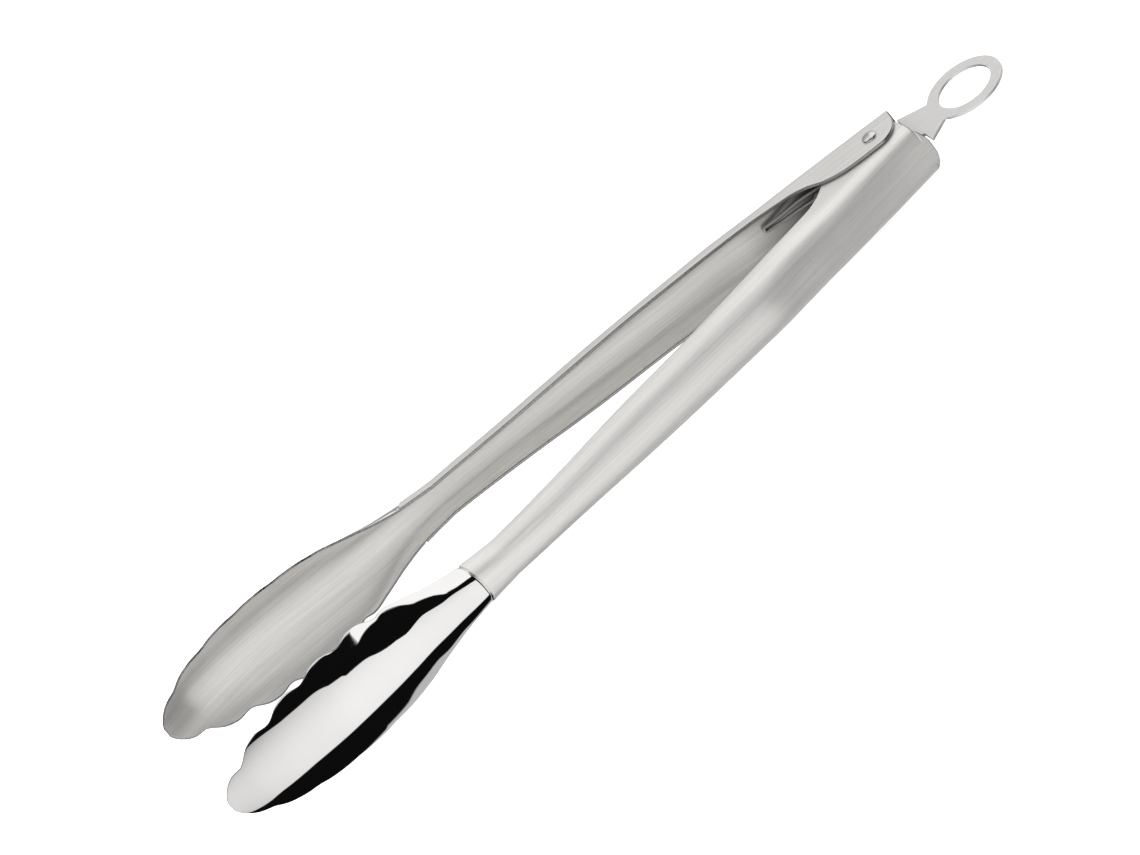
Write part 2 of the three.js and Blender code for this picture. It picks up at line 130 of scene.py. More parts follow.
def curve(stations):
    """Smooth curve through (position, value) stations, without overshoot."""
    xs = np.array([station[0] for station in stations], float)
    ys = np.array([station[1] for station in stations], float)
    slopes = np.diff(ys) / np.diff(xs)
    tangents = np.zeros(len(xs))
    tangents[0], tangents[-1] = slopes[0], slopes[-1]
    for i in range(1, len(xs) - 1):
        product = slopes[i - 1] * slopes[i]
        tangents[i] = 0 if product <= 0 else 2 * product / (slopes[i - 1] + slopes[i])

    def value(x):
        i = int(np.clip(np.searchsorted(xs, x) - 1, 0, len(xs) - 2))
        h = xs[i + 1] - xs[i]
        t = min(1.0, max(0.0, (x - xs[i]) / h))
        rise = t * t * (3 - 2 * t)
        start_bend = t * (1 - t) ** 2 * h * tangents[i]
        end_bend = t * t * (t - 1) * h * tangents[i + 1]
        return ys[i] + (ys[i + 1] - ys[i]) * rise + start_bend + end_bend

    return value


def smoothstep(x, low, high):
    t = np.clip((x - low) / (high - low), 0, 1)
    return t * t * (3 - 2 * t)


# ---- arm shape ----
# The lists repeat part.mjs. Many of their values, above all the rim and back heights, follow a least-squares
# fit to outline points read off the photograph, so they aren't independent measurements.
back_curve = curve([
    (-TAIL_FRONT, 9.9), (0, 10.4), (25, 12.4), (42, 13.9), (58, 15.1), (85, 14.9), (115, 14.4), (145, 13.5),
    (SEAM, 12.3),
])
rim_handle = curve([
    (28, 2.8), (42, 5.0), (58, 6.0), (82, 6.6), (112, 6.2), (145, 6.2), (SEAM, 5.3), (184, 4.2), (204, 3.1),
    (226, 2.9), (244, 2.2), (TIP, 0.75),
])
head_depth = curve([(SEAM, 7.0), (184, 7.0), (204, 7.8), (216, 7.7), (232, 6.3), (246, 3.7), (TIP, 0)])
half_handle = curve([
    (25, 0), (46, 0.3), (70, 0.8), (100, 1.5), (114, 2.1), (128, 2.8), (142, 3.25), (156, 3.55),
])
half_head = curve([
    (156, NECK_HALF), (167, 7.3), (175, 9.1), (184, 12.0), (194, 15.0), (202, 16.2), (HEAD_WIDEST, HEAD_HALF),
])
side_squareness = curve([
    (0, 3.7), (40, 2.7), (90, 2.5), (150, 2.6), (SEAM, 2.8), (178, 2.5), (190, 2.3), (TIP, 2.2),
])
back_squareness = curve([
    (0, 2.9), (40, 2.5), (90, 2.4), (150, 2.4), (SEAM, 2.4), (177, 1.8), (190, 1.3), (TIP, 1.2),
])
ear_sweep = curve([
    (5, -EAR_DROP), (11, -EAR_DROP + 0.6), (17, -3.2), (23, 0.9), (28, 2.8), (42, 5.0),
])


def rim_height(u):
    """Height of an arm's free edge: the rounded ear past the rivet axis, then the handle's rim."""
    if u >= 28:
        return rim_handle(u)
    if u >= -1:
        return ear_sweep(u)
    t = (-1 - u) / EAR_ROUND
    if t < 1:
        return -EAR_DROP + (EAR_DROP + EAR_ROUND_FROM) * (1 - math.sqrt(1 - t * t))
    return EAR_ROUND_FROM + (-1 - EAR_ROUND - u) / 0.065


def nested(u):
    """1 where the two like arms stand apart along the rivet and nest, 0 where they are in line."""
    return 1 - smoothstep(u, 22, 46)


def half_width(u):
    if u <= 156:
        return EAR_HALF + EAR_OFFSET * (1 - nested(u)) - half_handle(u)
    if u <= HEAD_WIDEST:
        return half_head(u)
    t = (u - HEAD_WIDEST) / (TIP - HEAD_WIDEST)
    return HEAD_HALF * math.sqrt(max(0.0, 1 - t * t))


def half_section(u):
    """z, w and length so far, from the middle of the back to the rim."""
    half = half_width(u)
    rim = rim_height(max(-1.0, u))
    back = back_curve(u) if u <= SEAM else rim_handle(u) + head_depth(u)
    corner = CORNER_DEPTH + max(0.0, u - 10) * 0.06 if u < 40 else back - rim
    depth = min(back - rim, corner)
    angle = np.linspace(0, math.pi / 2, 97)
    z = half * np.sin(angle) ** (2 / side_squareness(u))
    w = back - depth + depth * np.maximum(0, np.cos(angle)) ** (2 / back_squareness(u))
    if back - depth - rim > 0.01:
        z = np.append(z, half)
        w = np.append(w, rim)
    return z, w, np.concatenate([[0], np.cumsum(np.hypot(np.diff(z), np.diff(w)))])


def cut_length(u, section, tail):
    """Length of the half section that is left by the tail's tongue, the ear's end and the scallops."""
    z, w, lengths = section
    length = lengths[-1]
    if u < 0:
        on_tongue = u <= -TAIL_SIDE
        share = max(0.0, (tail + u) / (tail - TAIL_SIDE))
        tongue = TONGUE_START * z.max() * math.sqrt(share) if on_tongue else 99
        rim = -99 if on_tongue else rim_height(u)
        outside = np.nonzero((z > tongue) | (w < rim))[0]
        if len(outside) and outside[0] > 0:
            i = outside[0]
            over_z = (tongue - z[i - 1]) / max(1e-9, z[i] - z[i - 1])
            over_w = (w[i - 1] - rim) / max(1e-9, w[i - 1] - w[i])
            t = min(1.0, max(0.0, min(over_z, over_w)))
            length = lengths[i - 1] + (lengths[i] - lengths[i - 1]) * t
    wave = (u - SCALLOP_START) / SCALLOP_PITCH
    if -0.5 < wave < SCALLOPS + 0.5:
        fade = min(1, 2 * (wave + 0.5), 2 * (SCALLOPS + 0.5 - wave))
        length -= SCALLOP_DEPTH * fade * (0.5 + 0.5 * math.cos(2 * math.pi * wave)) ** 1.4
    return max(0.3, length - EDGE_R)


def arm_stations(tail):
    """Stations along an arm, closer together where its outline turns and at the seam."""
    part = lambda start, end, count: np.linspace(start, end, count, endpoint=False)
    scallop_end = SCALLOP_START + SCALLOPS * SCALLOP_PITCH
    ease = part(0, 1, 22)
    seam = SEAM + np.array([-1.4, -0.7, -0.3, -0.14, -0.05, 0.04, 0.13, 0.3, 0.42, 0.55, 0.9, 1.6])
    return np.concatenate([
        -(tail - EDGE_R) + (tail - EDGE_R - TAIL_SIDE) * part(0, 1, 16) ** 2,
        part(-TAIL_SIDE, -1 - EAR_ROUND, 6),
        -1 - EAR_ROUND * np.cos(part(0, 1, 20) * math.pi / 2),
        part(-1, 30, 26),
        part(30, 156, 60),
        part(156, SEAM - 1.5, 8),
        seam,
        part(SEAM + 2.2, SCALLOP_START - 3, 20),
        part(SCALLOP_START - 3, scallop_end, 120),
        scallop_end + (TIP - 0.3 - scallop_end) * (1 - (1 - ease) ** 2),
        [TIP - 0.3],
    ])


def seam_relief(past):
    """Depth below the handle's surface at a distance past the seam: a fine groove, then the lower head."""
    step = HEAD_STEP * smoothstep(past, -0.02, 0.12)
    groove = GROOVE * smoothstep(past, -0.08, 0.1) * (1 - smoothstep(past, 0.32, 0.52))
    return step + groove


def surface(u, share):
    """Points on the uncut outer surface, at shares of the half section's full length."""
    z, w, lengths = half_section(min(TIP, max(-TAIL_FRONT, u)))
    length = np.abs(share) * lengths[-1]
    across = np.interp(length, lengths, z) * np.sign(share) + EAR_OFFSET * nested(u)
    return np.stack([np.full(len(share), -u), np.interp(length, lengths, w), across], -1)


def arm_grid(tail):
    """Outer points, unit normals and grain coordinates of an arm, as rows over the back."""
    fractions = np.linspace(-1, 1, ACROSS + 1)
    points, normals, grain, past_seam = [], [], [], []
    for u in arm_stations(tail):
        section = half_section(u)
        left = cut_length(u, section, tail)
        share = fractions * left / section[2][-1]
        bow = SEAM_BOW * (1 - share ** 2) * math.exp(-((u - SEAM) / 6) ** 2)
        near = min(u, TIP - 1.2)
        along = surface(near + 0.4, share) - surface(near - 0.4, share)
        beyond = surface(near, np.minimum(1, share + 0.02))
        across = beyond - surface(near, np.maximum(-1, share - 0.02))
        normal = np.cross(along, across)
        row = surface(u, share)
        row += along / np.linalg.norm(along, axis=1)[:, None] * -bow[:, None]
        points.append(row)
        normals.append(normal / np.linalg.norm(normal, axis=1)[:, None])
        grain.append(np.stack([np.full(len(share), u), fractions * left], -1))
        past_seam.append(np.full(len(share), u - SEAM))
    return np.array(points), np.array(normals), np.array(grain), np.array(past_seam)


def arm_mesh(tail):
    """Closed sheet: outer skin, inner skin and a rounded cut edge all round.

    Gives points, faces, grain coordinates and material slots.
    """
    points, normals, grain, past_seam = arm_grid(tail)
    rows, columns = points.shape[:2]
    handle, head, edge, inside = range(4)
    depth = seam_relief(past_seam)
    outer = points - normals * depth[..., None]
    inner = points - normals * SHEET
    vertices = [outer.reshape(-1, 3), inner.reshape(-1, 3)]
    uvs = [grain.reshape(-1, 2), grain.reshape(-1, 2)]
    index = np.arange(rows * columns).reshape(rows, columns)
    inner_index = index + rows * columns
    faces, slots = [], []
    for i in range(rows - 1):
        polished = past_seam[i, 0] > 0.03
        for j in range(columns - 1):
            faces.append((index[i, j], index[i + 1, j], index[i + 1, j + 1], index[i, j + 1]))
            slots.append(head if polished else handle)
            under = inner_index[i:i + 2, j:j + 2]
            faces.append((under[0, 0], under[0, 1], under[1, 1], under[1, 0]))
            slots.append(inside)
    # The outline as one loop, and the direction that points out of the sheet at its cut edge.
    loop = [(0, j) for j in range(columns - 1, 0, -1)] + [(i, 0) for i in range(rows - 1)]
    loop += [(rows - 1, j) for j in range(columns - 1)] + [(i, columns - 1) for i in range(rows - 1, 0, -1)]
    at = tuple(np.array(loop).T)
    rim, rim_normal, rim_depth = outer[at], normals[at], depth[at]
    tangent = np.roll(rim, -1, 0) - np.roll(rim, 1, 0)
    out = np.cross(tangent, rim_normal)
    out /= np.linalg.norm(out, axis=1)[:, None]
    thickness = SHEET - rim_depth
    profile = [(math.sin(a), 1 - math.cos(a), 0) for a in np.radians([35, 65, 90])]
    profile += [(math.sin(a), -(1 - math.cos(a)), 1) for a in np.radians([90, 65, 35])]
    rings = [index[at]]
    count = 2 * rows * columns
    for bulge, sink, far in profile:
        ring = rim + out * bulge * EDGE_R - rim_normal * (sink * EDGE_R + far * thickness)[:, None]
        rings.append(np.arange(count, count + len(loop)))
        vertices.append(ring)
        uvs.append(grain[at])
        count += len(loop)
    rings.append(inner_index[at])
    for ring, below in zip(rings, rings[1:]):
        for k in range(len(loop)):
            after = (k + 1) % len(loop)
            faces.append((ring[k], below[k], below[after], ring[after]))
            slots.append(edge)
    return np.concatenate(vertices), faces, np.concatenate(uvs), slots


# ---- turning shapes into Blender pieces ----
def turned(points, angle, over=False):
    """Points of an arm's own frame, turned over about the arm's length if asked, then about the rivet."""
    x, y, z = points.T
    if over:
        y, z = -y, -z
    turned_x = x * math.cos(angle) - y * math.sin(angle)
    turned_y = x * math.sin(angle) + y * math.cos(angle)
    return np.stack([turned_x, turned_y, z], -1)


def build_mesh(name, points, faces, materials, slots=None, grain=None, smooth=True):
    """A piece from points in millimetres from the rivet's centre; grain coordinates are in millimetres too."""
    mesh = bpy.data.meshes.new(name)
    mesh.from_pydata([tuple(p) for p in (points + PIVOT) * MM], [], [tuple(map(int, f)) for f in faces])
    for material in materials:
        mesh.materials.append(material)
    if slots is not None:
        mesh.polygons.foreach_set("material_index", slots)
    if grain is not None:
        layer = mesh.uv_layers.new(name="Grain")
        corners = np.zeros(len(mesh.loops), int)
        mesh.loops.foreach_get("vertex_index", corners)
        layer.data.foreach_set("uv", (grain[corners] * MM).ravel())
    mesh.polygons.foreach_set("use_smooth", [smooth] * len(mesh.polygons))
    mesh.validate()
    mesh.update()
    piece = bpy.data.objects.new(name, mesh)
    bpy.context.scene.collection.objects.link(piece)
    return piece


def face_outward(piece):
    work = bmesh.new()
    work.from_mesh(piece.data)
    bmesh.ops.recalc_face_normals(work, faces=work.faces)
    work.to_mesh(piece.data)
    work.free()


def weighted_normals(piece):
    modifier = piece.modifiers.new("Normals", "WEIGHTED_NORMAL")
    modifier.keep_sharp = True
    modifier.weight = 80


def apply_modifiers(piece):
    graph = bpy.context.evaluated_depsgraph_get()
    mesh = bpy.data.meshes.new_from_object(piece.evaluated_get(graph))
    piece.modifiers.clear()
    piece.data = mesh


def drill(piece, radius):
    """Cuts the rivet's hole through both ears of an arm."""
    bpy.ops.mesh.primitive_cylinder_add(vertices=64, radius=radius * MM, depth=40 * MM, location=PIVOT * MM)
    tool = bpy.context.active_object
    modifier = piece.modifiers.new("Rivet hole", "BOOLEAN")
    modifier.object = tool
    modifier.operation = "DIFFERENCE"
    modifier.solver = "EXACT"
    apply_modifiers(piece)
    bpy.data.objects.remove(tool)


def lathe(name, outline, material, segments=72):
    """Solid of revolution about the rivet axis from (radius, z) points; points on the axis close it."""
    rings = []
    points = []
    for radius, z in outline:
        if radius < 1e-6:
            rings.append([len(points)] * segments)
            points.append((0, 0, z))
            continue
        rings.append(list(range(len(points), len(points) + segments)))
        for k in range(segments):
            angle = 2 * math.pi * k / segments
            points.append((radius * math.cos(angle), radius * math.sin(angle), z))
    faces = []
    closed = outline[0] == outline[-1]
    pairs = list(zip(rings, rings[1:]))
    if closed:
        pairs[-1] = (rings[-2], rings[0])
        points = points[:-segments]
    for low, high in pairs:
        for k in range(segments):
            after = (k + 1) % segments
            corners = list(dict.fromkeys([low[k], low[after], high[after], high[k]]))
            if len(corners) > 2:
                faces.append(corners)
    piece = build_mesh(name, np.array(points, float), faces, [material])
    face_outward(piece)
    weighted_normals(piece)
    return piece


def rounded(outline, radius, steps=3):
    """Profile points with every corner but the first and last rounded."""
    result = [outline[0]]
    for before, corner, after in zip(outline, outline[1:], outline[2:]):
        b, c, a = (np.array(p, float) for p in (before, corner, after))
        reach = min(radius, 0.45 * np.linalg.norm(b - c), 0.45 * np.linalg.norm(a - c))
        start = c + (b - c) / np.linalg.norm(b - c) * reach
        end = c + (a - c) / np.linalg.norm(a - c) * reach
        for k in range(steps + 1):
            t = k / steps
            result.append(tuple((1 - t) ** 2 * start + 2 * t * (1 - t) * c + t * t * end))
    return result + [outline[-1]]


def inset(outline, distance):
    """Closed outline moved to the left of its own direction."""
    before = outline - np.roll(outline, 1, 0)
    after = np.roll(before, -1, 0)
    left = [np.stack([-d[:, 1], d[:, 0]], -1) / np.linalg.norm(d, axis=1)[:, None] for d in (before, after)]
    middle = left[0] + left[1]
    return outline + distance * middle / np.sum(middle * left[0], axis=1)[:, None]


def cut_from_sheet(name, outlines, thickness, bevel, material, place):
    """Flat piece with rounded edges from closed outlines, the first of them the outside, the others holes."""
    quarter = np.radians([0, 25, 50, 75, 90])
    profile = [(bevel * (1 - math.sin(a)), thickness / 2 - bevel * (1 - math.cos(a))) for a in quarter]
    profile += [(inward, -height) for inward, height in reversed(profile)]
    points, faces, flats = [], [], []
    for number, outline in enumerate(outlines):
        ring = np.array(outline, float)
        x, y = ring.T
        counter_clockwise = np.sum(x * np.roll(y, -1) - np.roll(x, -1) * y) > 0
        if counter_clockwise != (number == 0):
            ring = ring[::-1]
        count = len(ring)
        first = len(points)
        for inward, height in profile:
            points += [(*p, height) for p in inset(ring, inward)]
        for low in range(first, first + count * (len(profile) - 1), count):
            for k in range(count):
                after = (k + 1) % count
                faces.append((low + k, low + after, low + count + after, low + count + k))
        flats.append(range(first, first + count))
    top = [[Vector(points[k]) for k in flat] for flat in flats]
    top_points = [k for flat in flats for k in flat]
    below = {k: k + len(flat) * (len(profile) - 1) for flat in flats for k in flat}
    for triangle in tessellate_polygon(top):
        corners = [top_points[k] for k in triangle]
        faces += [tuple(corners), tuple(below[k] for k in reversed(corners))]
    flat_points = np.array(points)
    piece = build_mesh(name, place(flat_points), faces, [material], grain=flat_points[:, :2])
    face_outward(piece)
    weighted_normals(piece)
    return piece


# ---- materials ----
SHADED_VALUE = 0.08      # share of the colour that is left where the painted shade inside an arm is darkest


def new_material(name):
    material = bpy.data.materials.new(name)
    material.use_nodes = True
    nodes = material.node_tree.nodes
    nodes.clear()
    output = nodes.new("ShaderNodeOutputMaterial")
    shader = nodes.new("ShaderNodeBsdfPrincipled")
    material.node_tree.links.new(shader.outputs["BSDF"], output.inputs["Surface"])
    return material, nodes, material.node_tree.links, shader


def streaks(nodes, links, source, scale, detail=3.0):
    """Noise stretched by scale, from a coordinate socket."""
    mapping = nodes.new("ShaderNodeMapping")
    mapping.inputs["Scale"].default_value = scale
    noise = nodes.new("ShaderNodeTexNoise")
    noise.inputs["Scale"].default_value = 1.0
    noise.inputs["Detail"].default_value = detail
    noise.inputs["Roughness"].default_value = 0.55
    links.new(source, mapping.inputs["Vector"])
    links.new(mapping.outputs["Vector"], noise.inputs["Vector"])
    return noise.outputs["Fac"]


def blend_values(nodes, links, parts):
    """Weighted sum of value sockets."""
    total = None
    for socket, weight in parts:
        node = nodes.new("ShaderNodeMath")
        node.operation = "MULTIPLY_ADD"
        node.inputs[1].default_value = weight
        node.inputs[2].default_value = 0.0
        links.new(socket, node.inputs[0])
        if total is not None:
            links.new(total, node.inputs[2])
        total = node.outputs[0]
    return total


def spread(nodes, links, socket, low, high, start=0.3, end=0.7):
    node = nodes.new("ShaderNodeMapRange")
    node.inputs["From Min"].default_value = start
    node.inputs["From Max"].default_value = end
    node.inputs["To Min"].default_value = low
    node.inputs["To Max"].default_value = high
    links.new(socket, node.inputs["Value"])
    return node.outputs["Result"]


def brushed_steel(name, colour, roughness, anisotropy, relief, metallic=1.0, contrast=0.07, shaded=None):
    """Steel with a fine grain along the Grain map's first axis.

    shaded is the stretch, in metres from the rivet, over which a painted shade fades out. It stands in for the
    deep shade inside the arms and isn't a stain on the steel.
    """
    material, nodes, links, shader = new_material(name)
    grain = nodes.new("ShaderNodeUVMap")
    grain.uv_map = "Grain"
    fine = streaks(nodes, links, grain.outputs["UV"], (60, 4800, 1))
    middle = streaks(nodes, links, grain.outputs["UV"], (32, 1900, 1))
    broad = streaks(nodes, links, grain.outputs["UV"], (14, 620, 1), 2.0)
    lines = blend_values(nodes, links, [(fine, 0.3), (middle, 0.42), (broad, 0.28)])
    shade = nodes.new("ShaderNodeMix")
    shade.data_type = "RGBA"
    shade.inputs["A"].default_value = [c * (1 - contrast) for c in colour] + [1]
    shade.inputs["B"].default_value = [min(1, c * (1 + contrast)) for c in colour] + [1]
    links.new(spread(nodes, links, lines, 0, 1, 0.35, 0.65), shade.inputs["Factor"])
    result = shade.outputs["Result"]
    if shaded:
        position = nodes.new("ShaderNodeSeparateXYZ")
        links.new(grain.outputs["UV"], position.inputs["Vector"])
        darker = nodes.new("ShaderNodeMix")
        darker.data_type = "RGBA"
        darker.inputs["A"].default_value = [c * SHADED_VALUE for c in colour] + [1]
        links.new(result, darker.inputs["B"])
        links.new(spread(nodes, links, position.outputs["X"], 0, 1, *shaded), darker.inputs["Factor"])
        result = darker.outputs["Result"]
    links.new(result, shader.inputs["Base Color"])
    links.new(spread(nodes, links, lines, roughness - 0.06, roughness + 0.08), shader.inputs["Roughness"])
    bump = nodes.new("ShaderNodeBump")
    bump.inputs["Strength"].default_value = relief
    bump.inputs["Distance"].default_value = 0.00004
    links.new(lines, bump.inputs["Height"])
    links.new(bump.outputs["Normal"], shader.inputs["Normal"])
    tangent = nodes.new("ShaderNodeTangent")
    tangent.direction_type = "UV_MAP"
    tangent.uv_map = "Grain"
    links.new(tangent.outputs["Tangent"], shader.inputs["Tangent"])
    shader.inputs["Metallic"].default_value = metallic
    shader.inputs["Anisotropic"].default_value = anisotropy
    shader.inputs["Anisotropic Rotation"].default_value = 0.25
    return material


def polished_steel(name, colour, roughness, scratch):
    """Mirror polish with faint wiping marks and slightly dulled patches."""
    material, nodes, links, shader = new_material(name)
    place = nodes.new("ShaderNodeTexCoord")
    marks = streaks(nodes, links, place.outputs["Object"], (900, 3200, 2100), 4.0)
    patches = streaks(nodes, links, place.outputs["Object"], (60, 90, 90), 2.0)
    both = blend_values(nodes, links, [(marks, 0.5), (patches, 0.5)])
    links.new(spread(nodes, links, both, roughness * 0.6, roughness * 1.6), shader.inputs["Roughness"])
    shade = nodes.new("ShaderNodeMix")
    shade.data_type = "RGBA"
    shade.inputs["A"].default_value = [c * 0.97 for c in colour] + [1]
    shade.inputs["B"].default_value = list(colour) + [1]
    links.new(spread(nodes, links, patches, 0, 1), shade.inputs["Factor"])
    links.new(shade.outputs["Result"], shader.inputs["Base Color"])
    bump = nodes.new("ShaderNodeBump")
    bump.inputs["Strength"].default_value = scratch
    bump.inputs["Distance"].default_value = 0.00001
    links.new(marks, bump.inputs["Height"])
    links.new(bump.outputs["Normal"], shader.inputs["Normal"])
    shader.inputs["Metallic"].default_value = 1.0
    return material


# Metallic below 1 lets the soft lights brighten the brushed steel, and the cut edges are darker than bare
# steel, a painted shade that draws thin dark lines along the rims: both are there for the look.
arm_brushed = brushed_steel("arm_brushed_steel", (0.85, 0.837, 0.813), 0.38, 0.75, 0.5, metallic=0.8,
                            contrast=0.12)
# The inside steel is painted darker towards the rivet, a painted shade for the deep shade in the channel.
arm_inside = brushed_steel("arm_inside_steel", (0.84, 0.827, 0.803), 0.36, 0.6, 0.5, metallic=0.84,
                           contrast=0.14, shaded=(0.018, 0.046))
head_polished = polished_steel("head_polished_steel", (0.93, 0.92, 0.91), 0.02, 0.02)
# The cut edges' dark colour is painted shade: it draws the thin dark lines along the rims.
edge_steel = polished_steel("cut_edge_steel", (0.42, 0.413, 0.405), 0.25, 0.2)
plate_satin = brushed_steel("plate_satin_steel", (0.80, 0.79, 0.775), 0.45, 0.3, 0.3, metallic=0.8,
                            contrast=0.05)
catch_satin = brushed_steel("catch_satin_steel", (0.72, 0.71, 0.70), 0.38, 0.2, 0.2)
rivet_steel = polished_steel("rivet_steel", (0.80, 0.79, 0.78), 0.22, 0.2)
sleeve_steel = polished_steel("sleeve_steel", (0.72, 0.71, 0.70), 0.25, 0.3)
wire_steel = brushed_steel("spring_wire_steel", (0.50, 0.49, 0.48), 0.28, 0.4, 0.3)


# ---- pieces ----
def make_arm(name, over, body):
    points, faces, grain, slots = arm_mesh(TAIL_FRONT if over else TAIL_REAR)
    placed = turned(points, OPEN_HALF_ANGLE if over else -OPEN_HALF_ANGLE, over)
    piece = build_mesh(name, placed, faces, [arm_brushed, head_polished, edge_steel, arm_inside], slots, grain)
    face_outward(piece)
    drill(piece, RIVET_HOLE_R)
    weighted_normals(piece)
    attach(piece, body)
    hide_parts(body + "_arm")


make_arm("rear_arm_sheet", False, "rear")
make_arm("front_arm_sheet", True, "front")


def arc(cx, cy, radius, start, end, steps):
    angles = np.linspace(start, end, steps)
    return [(cx + radius * math.cos(a), cy + radius * math.sin(a)) for a in angles]


def bend(start, corner, end, steps=6):
    """Points of a quadratic curve that leaves start towards corner and arrives at end."""
    s, c, e = (np.array(p, float) for p in (start, corner, end))
    ts = np.linspace(0, 1, steps)
    return [tuple((1 - t) ** 2 * s + 2 * t * (1 - t) * c + t * t * e) for t in ts]


def plate_side(shoulder):
    """Edge of the lock plate from its hook's root to the eye, on the side of positive y."""
    hook_out = CATCH_IN + CATCH_BAR + FINGER_GAP + FINGER
    hook_in = hook_out - FINGER
    finger_tip = -(CATCH_AT + CATCH_LENGTH / 2 + GAP)
    root_in = finger_tip - LOCK_TRAVEL - GAP
    root_out = root_in - HOOK_ROOT
    x, half = shoulder
    side = [(root_out, hook_out - 1.2), (root_out + 1.2, hook_out), (finger_tip - 0.4, hook_out)]
    side += bend((finger_tip - 0.4, hook_out), (finger_tip, hook_out), (finger_tip, hook_in + FINGER / 2))[1:]
    side += [(finger_tip, hook_in)]
    side += bend((root_in + 0.6, hook_in), (root_in, hook_in), (root_in, hook_in - 0.8))
    side += bend((root_in, TONGUE_HALF + 1.5), (root_in, TONGUE_HALF), (root_in + 1.5, TONGUE_HALF))
    side += bend((x - 1, TONGUE_HALF), (x, TONGUE_HALF), (x, TONGUE_HALF + 1))
    side += [(x, half), (x + 0.3, half)]
    side += bend((WAIST_X - 0.4, WAIST_HALF + 0.2), (WAIST_X, WAIST_HALF), (WAIST_X + 0.4, WAIST_HALF + 0.35))
    return side


def plate_outlines():
    """Outline of the lock plate, its hanging eye and the slot for the rivet."""
    reach = math.pi - math.asin((WAIST_HALF + 0.75) / EYE_R)
    ring = arc(EYE_X, 0, EYE_R, reach, -reach, 72)
    outside = plate_side(SHOULDER_REAR) + ring
    outside += [(x, -y) for x, y in reversed(plate_side(SHOULDER_FRONT))]
    slot_r = RIVET_R + GAP
    slot = arc(GAP, 0, slot_r, math.pi / 2, -math.pi / 2, 20)
    slot += arc(-LOCK_TRAVEL - GAP, 0, slot_r, -math.pi / 2, -3 * math.pi / 2, 20)
    return [outside, arc(EYE_X, 0, EYE_HOLE_R, 0, 2 * math.pi * 79 / 80, 80), slot]


def lift_plate(points):
    return points + np.array([0, 0, PLATE_LIFT])


plate = cut_from_sheet("pull_plate", plate_outlines(), SHEET, 0.12, plate_satin, lift_plate)
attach(plate, "lock")
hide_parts("lock_plate")


def make_catch(name, node, over, body):
    """Bent staple: two legs, a bar between them and rounded bends."""
    seat = back_curve(CATCH_AT) - SHEET - 0.4
    out = CATCH_LEG_IN + CATCH_LEG
    bar = CATCH_IN + CATCH_BAR
    outer = rounded([(-out, seat), (-out, CATCH_IN), (out, CATCH_IN), (out, seat)], 0.5, 5)
    leg = CATCH_LEG_IN
    inner = rounded([(leg, seat), (leg, bar), (-leg, bar), (-leg, seat)], 0.3, 5)
    angle = OPEN_HALF_ANGLE if over else -OPEN_HALF_ANGLE

    def stand(points):
        across, w, along = points.T
        return turned(np.stack([along - CATCH_AT, w, across], -1), angle, over)

    piece = cut_from_sheet(name, [outer + inner], CATCH_LENGTH, 0.08, catch_satin, stand)
    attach(piece, body)
    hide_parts(node)


make_catch("rear_staple", "rear_catch", False, "rear")
make_catch("front_staple", "front_catch", True, "front")


def make_rivet():
    seat = EAR_HALF + EAR_OFFSET + HEAD_GAP
    quarter = np.linspace(0, math.pi / 2, 14)
    lower = [(RIVET_HEAD_R * 1.02 * math.sin(a), -seat - 0.15 - 0.6 * math.cos(a)) for a in quarter]
    upper = [(RIVET_HEAD_R * math.cos(a), seat + 0.15 + (RIVET_DOME - 0.15) * math.sin(a)) for a in quarter]
    shank = [(RIVET_HEAD_R * 1.02, -seat), (RIVET_R, -seat), (RIVET_R, seat), (RIVET_HEAD_R, seat)]
    outline = lower + shank + upper
    outline[0] = (0, outline[0][1])
    outline[-1] = (0, outline[-1][1])
    piece = lathe("rivet_domed", outline, rivet_steel)
    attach(piece, "pivot")
    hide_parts("rivet")


def make_sleeve(name, node, side):
    face = PLATE_LIFT + side * (SHEET / 2 + HEAD_GAP)
    ear = side * (EAR_HALF - EAR_OFFSET - SHEET - 0.2)
    low, high = min(face, ear), max(face, ear)
    chamfer = 0.12
    outline = [
        (SLEEVE_BORE_R + chamfer, low), (SLEEVE_R - chamfer, low), (SLEEVE_R, low + chamfer),
        (SLEEVE_R, high - chamfer), (SLEEVE_R - chamfer, high), (SLEEVE_BORE_R + chamfer, high),
        (SLEEVE_BORE_R, high - chamfer), (SLEEVE_BORE_R, low + chamfer), (SLEEVE_BORE_R + chamfer, low),
    ]
    piece = lathe(name, outline, sleeve_steel)
    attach(piece, "pivot")
    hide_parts(node)


make_rivet()
make_sleeve("upper_spacer", "sleeve_upper", 1)
make_sleeve("lower_spacer", "sleeve_lower", -1)


